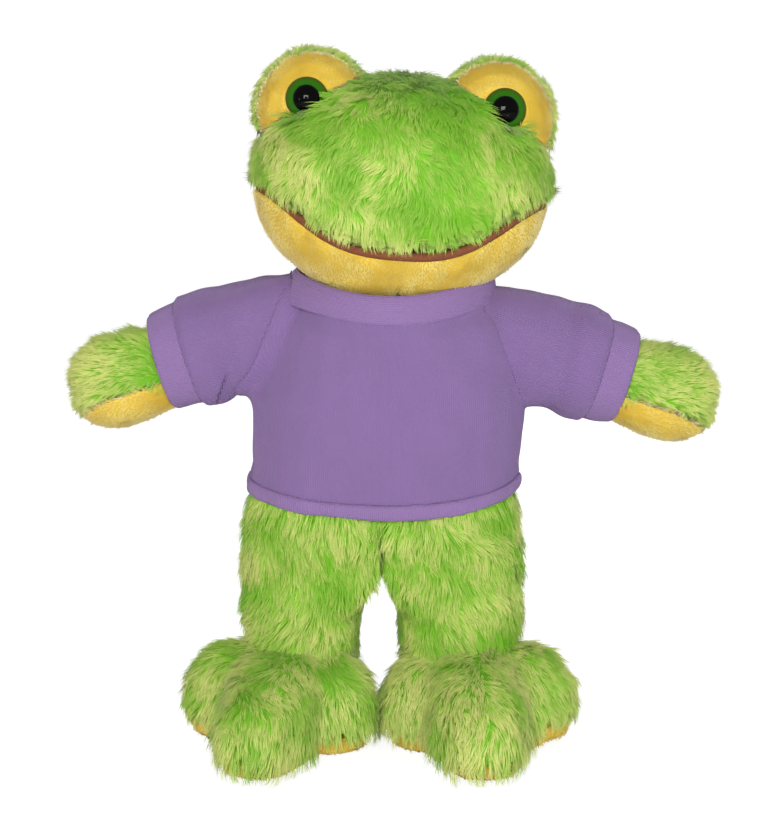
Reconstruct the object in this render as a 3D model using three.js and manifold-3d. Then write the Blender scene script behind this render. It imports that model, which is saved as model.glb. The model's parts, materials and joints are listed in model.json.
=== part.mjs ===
// A stuffed frog in a knitted raglan shirt, standing on its soles and facing -Y.
// Millimetres and degrees, +Z up. The origin is on the ground, below the middle of the whole toy.
// Left and right are the toy's own, so left is +X. Every sewn form is one closed stuffed solid.

import * as THREE from 'three';
import { mergeVertices } from 'three/addons/utils/BufferGeometryUtils.js';
import Module from 'manifold-3d';

const wasm = await Module();
wasm.setup();

// Fits
const seam = 0.3; // gap between two pieces that are sewn or pressed together
const running = 1; // gap between pieces that turn against each other
const cloth = 1.6; // thickness of the shirt's knitted cloth
const ribbing = 2.6; // thickness of its doubled bands

// Torso
const seatHeight = 95; // lowest point of the torso, between the legs
const torsoHalfWidth = 76;
const torsoHalfDepth = 57;
const neckHeight = 263.5; // the seam where the head is sewn on
const neckHalfWidth = 52;
const chestDrop = 65; // the chest's widest ring lies this far below the neck
const slopeDrop = 38; // and the shoulders start to slope here
const neckSway = 7.5; // the toy leans to its left, so its neck stands off the middle
const swayStart = 108; // height where the toy starts to lean
const swayOver = 40; // the lean goes on this far above the neck
const lean = 3.2; // tilt of the head, degrees

// Arms
const shoulderHeight = 238;
const shoulderHalfSpan = 68;
const shoulderDrop = 8; // the left shoulder hangs this much lower than the right
const shoulderRadius = 23; // of the arm's rolled root, and of its socket
const shoulderHalfDepth = 26;
const droop = 17; // of each arm below level, degrees
const armReach = 127.5; // from the shoulder's axis to the fingertips
const handHalfHeight = 29;
const palmTilt = 22; // the palm looks down and this much forwards, degrees
const palmDepth = 17.5; // from the arm's middle down to the palm's seam
const palmStart = 0.615; // share of the arm's reach that lies above the palm
const armRaise = 60; // travel of the shoulder, degrees up
const armLower = 16; // and degrees down

// Legs
const hipHeight = 100;
const hipHalfSpan = 46;
const hipRadius = 36; // of the leg's rolled root, and of its socket
const thighHalfWidth = 38.5;
const shinHalfWidth = 37;
const legFoot = 34; // height where the leg ends on the foot
const legForward = 75; // travel of the hip, degrees forwards
const legBack = 10; // and degrees backwards
const limbSquareness = 2.4; // of a limb's rounded section, where 2 is an ellipse

// Feet
const footOut = 6; // how far the foot stands outside the leg
const toeOut = { left: 4, right: 13 }; // degrees
const soleThickness = 11;
const instepHeight = 60;
const heelRadius = 36;
const toeReach = { middle: 105, outer: 71, inner: 60 };
const toeSpread = 57; // angle between the middle toe and each side toe, degrees
const toeFullness = { middle: 24, side: 31 }; // half angle of one toe, degrees

// Head, measured up from the neck seam
const headHalfWidth = 87.5;
const snoutReach = 79;
const napeReach = 69;
const crownHeight = 127;
const lipHeight = 25; // lowest point of the mouth
const smile = 33; // rise of the mouth towards the cheeks
const liningThickness = 3;
const liningFront = 30; // the lining's hidden edge lies this far before the neck's middle, below
const liningRear = 25; // and its upper side's
const jawInset = 1; // the jaw lies this far inside the snout
const cheekSeam = 14; // the jaw is sewn to the back of the head this far behind the neck's middle

// Eyes, measured in the head
const eyeHalfSpan = 54.5;
const eyeHeight = 107.5;
const eyeDiameter = 24;
const eyeDome = 5.2; // rise of the coloured dome
const pupilDiameter = 14;
const pupilDome = 1.8; // rise of the black centre above the coloured dome
const shankDiameter = 5;
const shankLength = 21;
const washerDiameter = 15;
const washerThickness = 1.5;
const washerSetBack = 2.5; // behind the patch's edge
const eyeSink = 4; // the eye is pulled this far into the mound's front
const eyeRim = 1.2; // thickness of the eye's edge
const mound = { halfWidth: 35, halfDepth: 35, halfHeight: 37, setBack: 14, below: 6, inside: 3 };
const patchEdge = 15; // edge of the yellow patch, in front of the mound's middle

// Shirt
const hemHeight = 140;
const hemBand = 9;
const ease = 1.1; // looseness of the shirt over the torso
const foldDepth = 0.7; // waves of the cloth at the hem
const foldCount = 9;
const foldTop = 220; // height where the waves fade out
const sideSeam = 0; // where the front and the back panel meet
const neckbandHeight = 14;
const neckbandDip = 14; // the band's front lies lower than its back
const neckbandBase = 266; // height of the band's lower edge at the back
const neckbandDepth = 0.91; // depth of the band as a share of its width
const neckbandLooseness = 5.2; // between the neck and the band
const raglan = { top: 300, neckHalf: 44, armpitHalf: 80, armpitHeight: 207 };
const sleeveHalfHeight = 31;
const sleeveLength = 54; // from the shoulder's axis to the cuff
const sleeveStart = -24; // the sleeve reaches this far inside the shoulder's axis, to the neckband
const cuffLength = 17;
const cuffHalfHeight = 28.6;

// Colours
const green = 0x98bb49;
const yellow = 0xd8be53;
const brown = 0x824f32;
const purple = 0x8c74a4;
const irisGreen = 0x23822a;
const black = 0x0b0b0c;
const clearPlastic = 0xe8e8e0;

const fur = (name) => fabric(name, green, 1);

function fabric(name, color, roughness) {
  return new THREE.MeshStandardMaterial({ name, color, roughness, metalness: 0 });
}

const radians = THREE.MathUtils.degToRad;
const alongX = new THREE.Vector3(1, 0, 0);
const alongY = new THREE.Vector3(0, 1, 0);

// Points round a form
const sides = 24;
const armSides = 20;
const sleeveSides = 20;
const bandTurns = 28;

// A closed body for joining and cutting, from a geometry whose corners are merged.
function solid(shape) {
  if (!shape.isBufferGeometry) return shape;
  const bare = shape.clone();
  bare.deleteAttribute('normal');
  bare.deleteAttribute('uv');
  const merged = mergeVertices(bare, 1e-4);
  const mesh = new wasm.Mesh({
    numProp: 3,
    vertProperties: new Float32Array(merged.attributes.position.array),
    triVerts: new Uint32Array(merged.index.array),
  });
  return new wasm.Manifold(mesh);
}

const cut = (body, ...tools) => tools.reduce((rest, tool) => rest.subtract(solid(tool)), solid(body));
const join = (body, ...more) => more.reduce((sum, next) => sum.add(solid(next)), solid(body));
const overlap = (body, region) => solid(body).intersect(solid(region));

function geometryOf(body) {
  const { vertProperties, triVerts, numProp } = body.getMesh();
  const position = vertProperties.filter((_, i) => i % numProp < 3);
  const geometry = new THREE.BufferGeometry();
  geometry.setAttribute('position', new THREE.BufferAttribute(position, 3));
  geometry.setIndex(new THREE.BufferAttribute(triVerts, 1));
  geometry.computeVertexNormals();
  return geometry;
}

// The geometry of one group as seen from another.
function seenFrom(viewer, owner, geometry) {
  const toWorld = owner.matrixWorld;
  const toViewer = viewer.matrixWorld.clone().invert();
  return geometry.clone().applyMatrix4(toWorld).applyMatrix4(toViewer);
}

// A skin over a stack of rings, closed by a fan of triangles at each end.
function loft(rings) {
  const count = rings[0].length;
  const middle = (ring) => ring.reduce((sum, p) => sum.add(p), new THREE.Vector3()).divideScalar(count);
  const points = rings.flat();
  const first = points.push(middle(rings[0])) - 1;
  const last = points.push(middle(rings.at(-1))) - 1;
  const faces = [];
  for (let i = 0; i < count; i++) {
    const j = (i + 1) % count;
    for (let r = 0; r < rings.length - 1; r++) {
      const [low, high] = [r * count, (r + 1) * count];
      faces.push(low + i, low + j, high + j, low + i, high + j, high + i);
    }
    const top = (rings.length - 1) * count;
    faces.push(first, j, i, last, top + i, top + j);
  }
  return meshOf(points, faces);
}

// A ring closed on itself: each section is a loop of points, and the last joins the first.
function hoop(sections) {
  const count = sections[0].length;
  const faces = [];
  sections.forEach((section, s) => {
    const [here, next] = [s * count, ((s + 1) % sections.length) * count];
    for (let i = 0; i < count; i++) {
      const j = (i + 1) % count;
      faces.push(here + i, next + i, next + j, here + i, next + j, here + j);
    }
  });
  return meshOf(sections.flat(), faces);
}

function meshOf(points, faces) {
  const geometry = new THREE.BufferGeometry().setFromPoints(points);
  geometry.setIndex(faces);
  return geometry;
}

// A rounded ring at one height: half width to each side, reach to the front and to the back.
function oval({ x = 0, y = 0, z, wide, front, back = front, square = 2.3, count = sides, wave = () => 0 }) {
  const ring = [];
  for (let i = 0; i < count; i++) {
    const turn = (2 * Math.PI * i) / count;
    const [c, s] = [Math.cos(turn), Math.sin(turn)];
    const soft = (v) => Math.sign(v) * Math.abs(v) ** (2 / square);
    const swell = 1 + wave(turn) / wide;
    ring.push(new THREE.Vector3(x + swell * wide * soft(c), y + swell * (s < 0 ? front : back) * soft(s), z));
  }
  return ring;
}

// Rings in even steps along a smooth profile. Each key is [height, half width, front, back].
function rings(keys, steps, shape = {}) {
  const size = keys[0].length;
  const curve = new THREE.CubicInterpolant(keys.map((_, i) => i), keys.flat(), size, new Float32Array(size));
  const stack = [];
  for (let i = 0; i <= steps; i++) {
    const [z, wide, front, back] = curve.evaluate((i * (keys.length - 1)) / steps);
    const extra = typeof shape === 'function' ? shape(z) : shape;
    stack.push(oval({ z, wide, front, back, ...extra }));
  }
  return stack;
}

function grown(keys, by) {
  return keys.map(([z, ...reaches]) => [z, ...reaches.map((reach) => reach + by)]);
}

function block(low, high) {
  const size = new THREE.Vector3().subVectors(high, low);
  const centre = new THREE.Vector3().addVectors(low, high).divideScalar(2);
  return new THREE.BoxGeometry(size.x, size.y, size.z).translate(centre.x, centre.y, centre.z);
}

const far = 400;
const below = (z) => block(new THREE.Vector3(-far, -far, -far), new THREE.Vector3(far, far, z));
const above = (z) => block(new THREE.Vector3(-far, -far, z), new THREE.Vector3(far, far, far));
const ahead = (y) => block(new THREE.Vector3(-far, -far, -far), new THREE.Vector3(far, y, far));
const behind = (y) => block(new THREE.Vector3(-far, y, -far), new THREE.Vector3(far, far, far));

// A prism standing in the XZ plane and running along Y.
function prism(outline, front, back) {
  const depth = back - front;
  const flat = new THREE.ExtrudeGeometry(outline, { depth, bevelEnabled: false });
  return flat.rotateX(Math.PI / 2).translate(0, back, 0);
}

// A barrel about Y whose ends are rounded off: the socket in which a limb's rolled root turns.
function barrel(radius, halfLength, square) {
  const steps = 12;
  const profile = [];
  for (let i = 0; i <= steps; i++) {
    const turn = -Math.PI / 2 + (Math.PI * i) / steps;
    const [c, s] = [Math.cos(turn), Math.sin(turn)];
    const reach = i % steps === 0 ? 0 : radius * c ** (2 / square);
    profile.push(new THREE.Vector2(reach, Math.sign(s) * halfLength * Math.abs(s) ** (2 / square)));
  }
  return new THREE.LatheGeometry(profile, sides);
}

// Rings of the same barrel, lying along X, from its far side up to its middle: a limb's rolled root
function rolledRoot(radius, halfLength, square, count) {
  const steps = 5;
  const stack = [];
  for (let k = 0; k < steps; k++) {
    const z = -radius * Math.cos((Math.PI / 2) * ((k + 0.25) / steps));
    const reach = halfLength * (1 - Math.abs(z / radius) ** square) ** (1 / square);
    const ring = oval({ z, wide: reach, front: radius, square, count });
    for (const point of ring) {
      const across = radius * (1 - Math.abs(point.x / halfLength) ** square) ** (1 / square);
      point.y = Math.sign(point.y) * Math.sqrt(Math.max(0, across ** 2 - z ** 2));
    }
    stack.push(ring);
  }
  return stack;
}

// The frog's bodies, each a group at its own joint
const frog = new THREE.Group();
const swayEnd = neckSway * 1.25;
const sway = (z) => swayEnd * THREE.MathUtils.smoothstep(z, swayStart, neckHeight + swayOver);

function bodyAt(name, x, y, z, aboutY = 0) {
  const group = new THREE.Group();
  group.name = name;
  group.position.set(x, y, z);
  group.rotation.y = radians(aboutY);
  frog.add(group);
  group.updateWorldMatrix(true, false);
  return group;
}

const trunk = bodyAt('trunk', 0, 0, 0);
const head = bodyAt('neck', neckSway, 0, neckHeight, lean);
const both = [
  { name: 'left', side: 1 },
  { name: 'right', side: -1 },
];

function shoulderOf(side) {
  const z = shoulderHeight - (side * shoulderDrop) / 2;
  return new THREE.Vector3(sway(z) + side * shoulderHalfSpan, 0, z);
}

for (const limb of both) {
  const { x, z } = shoulderOf(limb.side);
  limb.arm = bodyAt(`${limb.name}_shoulder`, x, 0, z, limb.side * (90 + droop));
  limb.leg = bodyAt(`${limb.name}_hip`, limb.side * hipHalfSpan, 0, hipHeight);
}

function add(group, name, material, body) {
  const mesh = new THREE.Mesh(geometryOf(solid(body)), material);
  mesh.name = name;
  group.add(mesh);
}

// The arm's stuffed form, along +Z from the shoulder's axis
function armForm(by = 0) {
  const hand = handHalfHeight;
  const keys = grown([
    [0, shoulderRadius, shoulderHalfDepth, shoulderHalfDepth],
    [0.26 * armReach, 1.08 * shoulderRadius, shoulderHalfDepth, shoulderHalfDepth],
    [0.52 * armReach, 1.06 * shoulderRadius, 0.96 * shoulderHalfDepth, 0.96 * shoulderHalfDepth],
    [0.64 * armReach, 0.95 * hand, 0.93 * hand, 0.93 * hand],
    [0.79 * armReach, hand, 0.93 * hand, 0.93 * hand],
    [0.92 * armReach, 0.8 * hand, 0.74 * hand, 0.74 * hand],
    [0.98 * armReach, 0.47 * hand, 0.42 * hand, 0.42 * hand],
    [armReach, 0.1 * hand, 0.1 * hand, 0.1 * hand],
  ], by);
  const root = rolledRoot(shoulderRadius + by, shoulderHalfDepth + by, limbSquareness, armSides);
  for (const point of root.flat()) [point.x, point.y] = [-point.y, point.x];
  const quarter = armSides / 4;
  const aligned = root.map((ring) => ring.slice(-quarter).concat(ring.slice(0, -quarter)));
  return loft([...aligned, ...rings(keys, 12, { count: armSides, square: limbSquareness })]);
}

// The leg's stuffed form, downwards from the hip's axis
function legForm(by = 0) {
  const [thigh, shin] = [thighHalfWidth, shinHalfWidth];
  const keys = grown([
    [0, thigh, hipRadius, hipRadius],
    [-0.3 * hipHeight, 0.5 * (thigh + shin), hipRadius, hipRadius],
    [0.5 * legFoot - 0.6 * hipHeight, shin, hipRadius, hipRadius],
    [legFoot - hipHeight, 0.9 * shin, 0.9 * shin, 0.9 * shin],
  ], by);
  const root = rolledRoot(hipRadius + by, thigh + by, limbSquareness, sides);
  for (const point of root.flat()) point.z *= -1;
  return loft([...root, ...rings(keys, 6, { count: sides, square: limbSquareness })].reverse());
}

// What a limb sweeps as it turns: its socket, and a straight stub turned to each angle of its travel
function limbPath(group, hinge, radius, halfLength, stub, turns) {
  const socket = barrel(radius + running, halfLength + running, limbSquareness);
  if (hinge === alongX) socket.rotateZ(Math.PI / 2);
  const turnedStubs = turns.map((turn) => stub.clone().applyMatrix4(
    new THREE.Matrix4().makeRotationAxis(hinge, radians(turn))));
  return [socket, ...turnedStubs].map((shape) => seenFrom(trunk, group, shape));
}

function stubOf(wide, deep, length) {
  const ends = [0, length].sort((a, b) => a - b);
  const loose = 2 * running;
  const section = { wide: wide + loose, front: deep + loose, square: limbSquareness, count: 16 };
  return loft(ends.map((z) => oval({ z, ...section })));
}

const limbPaths = both.flatMap(({ side, arm, leg }) => {
  const armStub = stubOf(1.08 * shoulderRadius, shoulderHalfDepth, 0.5 * armReach);
  const legStub = stubOf(thighHalfWidth, hipRadius, legFoot - hipHeight);
  const lift = [-armLower, 0, armRaise / 2, armRaise].map((turn) => -side * turn);
  const swing = [-legBack, 0, legForward / 2, legForward].map((turn) => -turn);
  return [
    ...limbPath(arm, alongY, shoulderRadius, shoulderHalfDepth, armStub, lift),
    ...limbPath(leg, alongX, hipRadius, thighHalfWidth, legStub, swing),
  ];
});

// The trunk's form. The shirt's cloth is the same form, a little larger.
function torsoKeys(by) {
  const [w, d] = [torsoHalfWidth, torsoHalfDepth];
  return grown([
    [seatHeight, 0.6 * w, 0.5 * d, 0.6 * d],
    [seatHeight + 7, 0.9 * w, 0.78 * d, 0.86 * d],
    [seatHeight + 20, 1.06 * w, 0.96 * d, 0.98 * d],
    [hemHeight + 4, w, d, 0.98 * d],
    [0.5 * (hemHeight + neckHeight) - 20, 1.01 * w, 1.01 * d, 0.97 * d],
    [neckHeight - chestDrop, 1.01 * w, d, 0.95 * d],
    [neckHeight - slopeDrop, 0.92 * w, 0.97 * d, 0.91 * d],
    [neckHeight - 15, 0.5 * (w + neckHalfWidth), 0.9 * d, 0.83 * d],
    [neckHeight, neckHalfWidth, 0.86 * d, 0.76 * d],
  ], by);
}

function trunkForm(by, wave = 0) {
  const fade = (z) => THREE.MathUtils.smoothstep(-z, -foldTop, -hemHeight);
  const folds = (z) => (turn) => wave * fade(z) * Math.cos(foldCount * turn);
  return loft(rings(torsoKeys(by), 14, (z) => ({ x: sway(z), wave: folds(z) })));
}

const aboveNeck = seenFrom(trunk, head, above(0));
const torso = cut(trunkForm(0), aboveNeck, ...limbPaths);
add(trunk, 'torso', fur('torso'), torso);

// Shirt: front and back panels, raglan sleeves, ribbed neckband, cuffs and hem
const shirtOuter = trunkForm(ease + cloth, foldDepth);
const shirtInner = trunkForm(ease, foldDepth);

// The wedge that a raglan sleeve takes from the panels, from the neckband down to the armpit
function raglanWedge(side, by = 0) {
  const half = (x) => side * (x - by);
  const outline = new THREE.Shape();
  outline.moveTo(half(raglan.neckHalf), raglan.top);
  outline.lineTo(side * far, raglan.top);
  outline.lineTo(side * far, raglan.armpitHeight - by);
  outline.lineTo(half(raglan.armpitHalf), raglan.armpitHeight - by);
  outline.closePath();
  return prism(outline, -far, far);
}

// A point on the neckband: how far outside the neck, and how far above the band's lower edge
function neckbandPoint(turn, reach, rise) {
  const [c, s] = [Math.cos(turn), Math.sin(turn)];
  const base = neckbandBase - neckbandDip * ((1 - s) / 2) ** 3;
  const x = neckSway - 1 + (neckHalfWidth + reach) * c;
  const y = (neckbandDepth * neckHalfWidth + reach) * s - 1;
  return new THREE.Vector3(x, y, base + rise);
}

const neckbandTurns = Array.from({ length: bandTurns }, (_, i) => (2 * Math.PI * i) / bandTurns);
const neckbandInner = neckbandLooseness;
const neckbandOuter = neckbandLooseness + ribbing;

// The neckband: a standing band whose front dips under the chin
function neckband() {
  const lip = 0.35 * ribbing;
  const section = [
    [neckbandOuter, 0], [neckbandOuter + 0.4, neckbandHeight / 2], [neckbandOuter, neckbandHeight - lip],
    [neckbandOuter - lip, neckbandHeight], [neckbandInner + lip, neckbandHeight],
    [neckbandInner, neckbandHeight - lip], [neckbandInner, 0],
  ];
  return hoop(neckbandTurns.map((turn) => section.map(([reach, rise]) => neckbandPoint(turn, reach, rise))));
}

// Everything above the seam where the neckband is sewn on, as far out as the band
function neckOpening() {
  const edge = neckbandOuter + 0.5 * cloth + seam;
  const levels = [[neckbandInner - cloth, -seam], [edge, -seam], [edge, far]];
  return loft(levels.map(([reach, rise]) => neckbandTurns.map((turn) => neckbandPoint(turn, reach, rise))));
}

const shirtShell = overlap(cut(shirtOuter, shirtInner), above(hemHeight + hemBand + seam));
const armholes = both.flatMap(({ side, arm }) => [
  raglanWedge(side, seam),
  seenFrom(trunk, arm, sleeveForm(seam, sleeveStart)),
]);
const panels = cut(shirtShell, neckOpening(), ...limbPaths, ...armholes);
add(trunk, 'shirt_front', fabric('shirt_front', purple, 0.95), overlap(panels, ahead(sideSeam - seam / 2)));
add(trunk, 'shirt_back', fabric('shirt_back', purple, 0.95), overlap(panels, behind(sideSeam + seam / 2)));
add(trunk, 'shirt_neckband', fabric('shirt_neckband', purple, 0.95),
  cut(neckband(), trunkForm(seam), seenFrom(trunk, head, headForm(seam))));

const hemOuter = trunkForm(ease + ribbing, foldDepth);
const hemSlice = overlap(above(hemHeight), below(hemHeight + hemBand));
add(trunk, 'shirt_hem', fabric('shirt_hem', purple, 0.95), overlap(cut(hemOuter, shirtInner), hemSlice));

// A sleeve along the arm, from inside the shoulder to the cuff
function sleeveForm(by, from) {
  const upper = sleeveHalfHeight + by;
  const lower = cuffHalfHeight + by;
  const keys = [
    [from, upper, upper - 1, upper - 1],
    [0.55 * sleeveLength, upper, upper - 1, upper - 1],
    [sleeveLength, lower + 0.6, lower, lower],
  ];
  return loft(rings(keys, 5, { count: sleeveSides, square: limbSquareness }));
}

function cuffForm(by, from, to) {
  const half = cuffHalfHeight + by;
  return loft([
    oval({ z: from, wide: half + 0.4, front: half, square: limbSquareness, count: sleeveSides }),
    oval({ z: (from + to) / 2, wide: half + 0.3, front: half, square: limbSquareness, count: sleeveSides }),
    oval({ z: to, wide: half - 0.9, front: half - 1.3, square: limbSquareness, count: sleeveSides }),
  ]);
}

// A plane across the arm's underside divides the palm from the back of the hand.
function palmSide(side, by) {
  const [near, deep] = [side * (palmDepth - by), side * far].sort((a, b) => a - b);
  const start = palmStart * armReach - by;
  const slab = block(new THREE.Vector3(near, -far, start), new THREE.Vector3(deep, far, far));
  return slab.rotateZ(radians(-side * palmTilt));
}

for (const { name, side, arm } of both) {
  add(arm, `${name}_arm`, fur(`${name}_arm`), cut(armForm(), palmSide(side, seam)));
  add(arm, `${name}_palm`, fabric(`${name}_palm`, yellow, 0.9), overlap(armForm(), palmSide(side, 0)));

  const cap = overlap(shirtOuter, raglanWedge(side));
  const tube = seenFrom(trunk, arm, sleeveForm(0, sleeveStart));
  const inside = seenFrom(trunk, arm, sleeveForm(-cloth, sleeveStart - 6));
  const end = seenFrom(trunk, arm, armForm(seam));
  const sleeve = cut(join(cap, tube), inside, end, shirtInner, neckOpening());
  const onArm = seenFrom(arm, trunk, geometryOf(sleeve));
  add(arm, `${name}_sleeve`, fabric(`${name}_sleeve`, purple, 0.95), onArm);

  const cuffStart = sleeveLength + seam;
  const cuffEnd = cuffStart + cuffLength;
  const cuff = cut(cuffForm(0, cuffStart, cuffEnd), armForm(seam));
  add(arm, `${name}_cuff`, fabric(`${name}_cuff`, purple, 0.95), cuff);
}

// A foot's outline seen from above: a round heel and three soft toes, as a radius for each direction
function footRadius(turn, side) {
  const toes = [
    { at: 0, reach: toeReach.middle, fullness: toeFullness.middle },
    { at: side * toeSpread, reach: toeReach.outer, fullness: toeFullness.side },
    { at: -side * toeSpread, reach: toeReach.inner, fullness: toeFullness.side },
  ];
  return toes.reduce((radius, { at, reach, fullness }) => {
    const away = Math.abs(turn - radians(at)) / radians(fullness);
    return radius + (reach - heelRadius) * Math.exp(-(away ** 2.8));
  }, heelRadius);
}

function footRing(side, z, share, by) {
  const count = 36;
  const ring = [];
  for (let i = 0; i < count; i++) {
    const turn = -Math.PI + (2 * Math.PI * i) / count;
    const radius = share * (footRadius(turn, side) + by);
    ring.push(new THREE.Vector3(radius * Math.sin(turn), -radius * Math.cos(turn), z));
  }
  return ring;
}

function footForm(side, by = 0) {
  const rise = instepHeight - soleThickness;
  const base = soleThickness + seam;
  const shares = [[0, 0.99], [0.2, 1.01], [0.45, 0.97], [0.66, 0.87], [0.82, 0.72], [0.93, 0.51], [1, 0.2]];
  return loft(shares.map(([height, share]) => footRing(side, base + rise * height + by, share, by)));
}

function soleForm(side) {
  const shares = [[0, 0.9], [0.35, 0.97], [1, 0.995]];
  return loft(shares.map(([height, share]) => footRing(side, soleThickness * height, share, 0)));
}

for (const { name, side, leg } of both) {
  const foot = new THREE.Group();
  foot.position.set(side * footOut, 0, -hipHeight);
  foot.rotation.z = radians(side * toeOut[name]);
  leg.add(foot);
  foot.updateWorldMatrix(true, false);
  const room = seenFrom(leg, foot, footForm(side, seam));
  add(leg, `${name}_leg`, fur(`${name}_leg`), cut(legForm(), room));
  add(foot, `${name}_foot`, fur(`${name}_foot`), footForm(side));
  add(foot, `${name}_sole`, fabric(`${name}_sole`, yellow, 0.9), soleForm(side));
}

// Head: one swelling form, divided by the mouth and the cheek seams
function headForm(by = 0) {
  const [w, f, b, top] = [headHalfWidth, snoutReach, napeReach, crownHeight];
  const keys = grown([
    [0, 0.5 * w, 0.55 * f, 0.5 * b],
    [0.07 * top, 0.61 * w, 0.69 * f, 0.64 * b],
    [0.165 * top, 0.79 * w, 0.85 * f, 0.82 * b],
    [0.28 * top, 0.92 * w, 0.96 * f, 0.94 * b],
    [0.44 * top, 0.99 * w, f, b],
    [0.6 * top, w, f, b],
    [0.72 * top, 0.92 * w, 0.95 * f, 0.95 * b],
    [0.84 * top, 0.71 * w, 0.82 * f, 0.82 * b],
    [0.94 * top, 0.42 * w, 0.56 * f, 0.55 * b],
    [top, 0.12 * w, 0.16 * f, 0.15 * b],
  ], by);
  keys.at(-1)[0] += by;
  return loft(rings(keys, 16, { square: 2.5, count: 24 }));
}

function mouthLine(x) {
  const out = Math.min(1, Math.abs(x) / headHalfWidth);
  return lipHeight + smile * Math.sin((Math.PI / 2) * out ** 1.5) ** 2;
}

// The space below the mouth's curve, raised by a lift, as far back as the given depth
function underMouth(lift, back) {
  const edge = headHalfWidth + 30;
  const outline = new THREE.Shape();
  outline.moveTo(-edge, -far);
  outline.lineTo(edge, -far);
  const steps = 28;
  for (let i = 0; i <= steps; i++) {
    const x = edge - (2 * edge * i) / steps;
    outline.lineTo(x, mouthLine(x) + lift);
  }
  outline.closePath();
  return prism(outline, -far, back);
}

function moundForm(side) {
  const { halfWidth, halfDepth, halfHeight, setBack, below: drop, inside } = mound;
  return new THREE.SphereGeometry(1, 18, 12)
    .scale(halfWidth, halfDepth, halfHeight)
    .translate(side * (eyeHalfSpan - inside), -setBack, eyeHeight - drop);
}

// The eye: a coloured dome on a shank, its flat back pressed against the patch
const eyeBack = eyeSink - mound.setBack - mound.halfDepth;

function turned(points, count) {
  return new THREE.LatheGeometry(points.map(([r, y]) => new THREE.Vector2(r, y)), count);
}

function domed(radius, rise, steps) {
  return Array.from({ length: steps + 1 }, (_, i) => {
    const turn = (Math.PI / 2) * (i / steps);
    return [i === 0 ? 0 : radius * Math.sin(turn), -rise * Math.cos(turn)];
  });
}

function eyeForm(by = 0) {
  const [radius, shank] = [eyeDiameter / 2 + by, shankDiameter / 2 + by];
  const dome = domed(radius, eyeDome + by, 4);
  const stem = [[radius, eyeRim], [shank, eyeRim + by], [shank, shankLength], [0, shankLength + by]];
  return turned([...dome, ...stem], 18);
}

function pupilForm(by = 0) {
  const radius = pupilDiameter / 2 + by;
  const seat = -eyeDome * Math.sqrt(1 - (pupilDiameter / eyeDiameter) ** 2) + 0.6;
  const dome = domed(radius, pupilDome - 0.2 * eyeDome - seat + by, 4);
  return turned([...dome.map(([r, y]) => [r, y + seat]), [0, seat + by]], 18);
}

function washerForm(by = 0) {
  const [inner, outer] = [shankDiameter / 2 + seam - by, washerDiameter / 2 + by];
  const half = washerThickness / 2 + by;
  return turned([[inner, -half], [outer, -half], [outer, half], [inner, half], [inner, -half]], 16);
}

const liningLift = liningThickness + 2 * seam;
const crownRoom = underMouth(liningLift, cheekSeam + seam);
const jaw = overlap(overlap(headForm(-jawInset), underMouth(0, cheekSeam)), above(running));
const liningSheet = cut(underMouth(seam + liningThickness, -liningFront), underMouth(seam, -liningRear));
const lining = overlap(overlap(headForm(-jawInset - 1), liningSheet), above(0));

function eyeSet({ name, side }) {
  const eyes = new THREE.Group();
  eyes.position.set(side * eyeHalfSpan, eyeBack, eyeHeight);
  head.add(eyes);
  eyes.updateWorldMatrix(true, false);
  const seat = (geometry) => seenFrom(head, eyes, geometry);
  const patchBack = -(mound.setBack + patchEdge);
  const whole = cut(moundForm(side), headForm(seam), seat(eyeForm(seam)));
  const washerSeat = patchBack - eyeBack + washerSetBack;
  const pocket = seat(washerForm(seam + 0.2).translate(0, washerSeat, 0));
  const boreEnd = shankLength + 2;
  const bore = seat(turned([[0, 0], [shankDiameter, 0], [shankDiameter, boreEnd], [0, boreEnd]], 16));
  add(head, `${name}_eye_patch`, fabric(`${name}_eye_patch`, yellow, 0.9), overlap(whole, ahead(patchBack)));
  add(head, `${name}_eye_mound`, fur(`${name}_eye_mound`),
    cut(overlap(whole, behind(patchBack + seam)), pocket, bore));
  add(eyes, `${name}_eye`, plastic(`${name}_eye`, irisGreen), cut(eyeForm(), pupilForm(seam)));
  add(eyes, `${name}_pupil`, plastic(`${name}_pupil`, black), pupilForm());
  const washer = washerForm().translate(0, washerSeat, 0);
  add(eyes, `${name}_eye_washer`, plastic(`${name}_eye_washer`, clearPlastic), washer);
  return [seat(eyeForm(seam)), seat(pupilForm(seam)), pocket, bore];
}

function plastic(name, color) {
  return new THREE.MeshStandardMaterial({ name, color, roughness: 0.15, metalness: 0 });
}

const eyeRooms = both.flatMap(eyeSet);
add(head, 'head_crown', fur('head_crown'),
  overlap(cut(headForm(), crownRoom, ...eyeRooms), above(running)));
add(head, 'lower_jaw', fabric('lower_jaw', yellow, 0.9), jaw);
add(head, 'mouth_lining', fabric('mouth_lining', brown, 0.9), lining);

// The ground below the middle of the toy becomes the origin.
const outline = new THREE.Box3().setFromObject(frog, true);
const middle = outline.getCenter(new THREE.Vector3());
frog.position.set(-middle.x, -middle.y, 0);
frog.updateMatrixWorld(true);

export default frog;
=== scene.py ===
# A stuffed frog in a knitted shirt: its skins, pile, cloth and eyes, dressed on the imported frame.
import json
import math
from dataclasses import dataclass, replace

import bmesh
import bpy
import numpy as np
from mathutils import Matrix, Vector
from mathutils.bvhtree import BVHTree


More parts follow.
